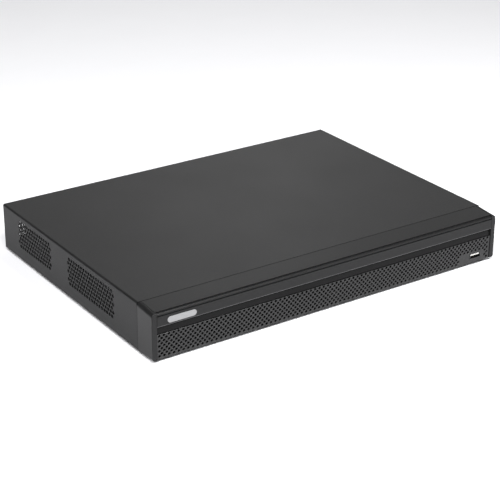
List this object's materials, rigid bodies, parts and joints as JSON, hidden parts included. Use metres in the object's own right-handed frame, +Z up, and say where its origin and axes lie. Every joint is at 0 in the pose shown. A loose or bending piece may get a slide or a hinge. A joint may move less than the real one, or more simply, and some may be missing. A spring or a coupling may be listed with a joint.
{
  "type": "video recorder",
  "caption": "Flat desktop security video recorder: steel case, plastic front with a perforated grille, rear sockets, side fan and power rocker.",
  "frame": {"origin": "middle of the footprint, at the level of the feet's undersides", "axes": "+X to the right seen from the front, +Y to the rear with the front facing -Y, +Z up"},
  "size_m": [0.375, 0.2826, 0.048],
  "materials": {
    "dark_paint": "fine textured dark grey powder coat",
    "bezel_plastic": "fine textured dark grey moulding",
    "smoked_window": "smooth smoked plastic",
    "badge_ink": "pale grey inlay",
    "foot_rubber": "matt black",
    "board": "green solder mask",
    "black_plastic": "moulded black",
    "nickel": "nickel plated",
    "vga_blue": "moulded blue insulator in a plated shell",
    "terminal_green": "moulded green",
    "cast_aluminium": "cast and machined",
    "drive_lid_steel": "pressed stainless sheet",
    "clear_pipe": "clear moulded plastic",
    "ribbon_grey": "grey flat cable",
    "lead_red": "red cable jacket",
    "lead_black": "black cable jacket",
    "jack_plastic": "moulded off-white"
  },
  "bodies": {
    "case": {"base_tray": "dark_paint", "rear_panel": "dark_paint", "top_cover": "dark_paint", "bezel_frame": "bezel_plastic", "fascia_strip": "bezel_plastic", "front_grille": "bezel_plastic", "indicator_window": "smoked_window", "badge_plate": "badge_ink", "light_pipe": "clear_pipe", "front_board": "board", "main_board": "board", "front_ribbon": "ribbon_grey", "front_usb_port": "nickel", "processor": "black_plastic", "heat_sink": "cast_aluminium", "coin_cell": "nickel", "drive_body": "cast_aluminium", "drive_lid": "drive_lid_steel", "sata_data_cable": "lead_red", "sata_power_cable": "lead_black", "fan_frame": "black_plastic", "fan_lead": "lead_black", "audio_jacks": "jack_plastic", "vga_port": "vga_blue", "hdmi_port": "nickel", "rear_usb_port": "nickel", "lan_port": "nickel", "terminal_header": "terminal_green", "dc_inlet": "black_plastic", "switch_housing": "black_plastic", "switch_lead": "lead_black", "ground_screw": "nickel", "cover_screw_1": "nickel", "cover_screw_2": "nickel", "cover_screw_3": "nickel", "foot_1": "foot_rubber", "board_screw_1": "nickel", "drive_screw_1": "nickel", "foot_2": "foot_rubber", "board_screw_2": "nickel", "drive_screw_2": "nickel", "foot_3": "foot_rubber", "board_screw_3": "nickel", "drive_screw_3": "nickel", "foot_4": "foot_rubber", "board_screw_4": "nickel", "drive_screw_4": "nickel", "fan_screw_1": "nickel", "fan_screw_2": "nickel", "bnc_socket_1": "nickel", "bnc_socket_2": "nickel", "bnc_socket_3": "nickel", "bnc_socket_4": "nickel", "bnc_socket_5": "nickel", "bnc_socket_6": "nickel", "bnc_socket_7": "nickel", "bnc_socket_8": "nickel"},
    "fan": {"fan_rotor": "black_plastic"},
    "rocker": {"power_rocker": "black_plastic"},
    "terminal": {"terminal_plug": "terminal_green"}
  },
  "joints": [
    {"name": "fan_spin", "type": "hinge", "parent": "case", "child": "fan", "pos_m": [-0.1799, 0.066, 0.0251], "axis": [1, 0, 0], "continuous": true},
    {"name": "power_switch", "type": "hinge", "parent": "case", "child": "rocker", "pos_m": [0.1522, 0.1317, 0.022], "axis": [1, 0, 0], "range_deg": [0, 16]},
    {"name": "terminal_slide", "type": "slide", "parent": "case", "child": "terminal", "axis": [0, 1, 0], "range_m": [0, 0.009]}
  ]
}
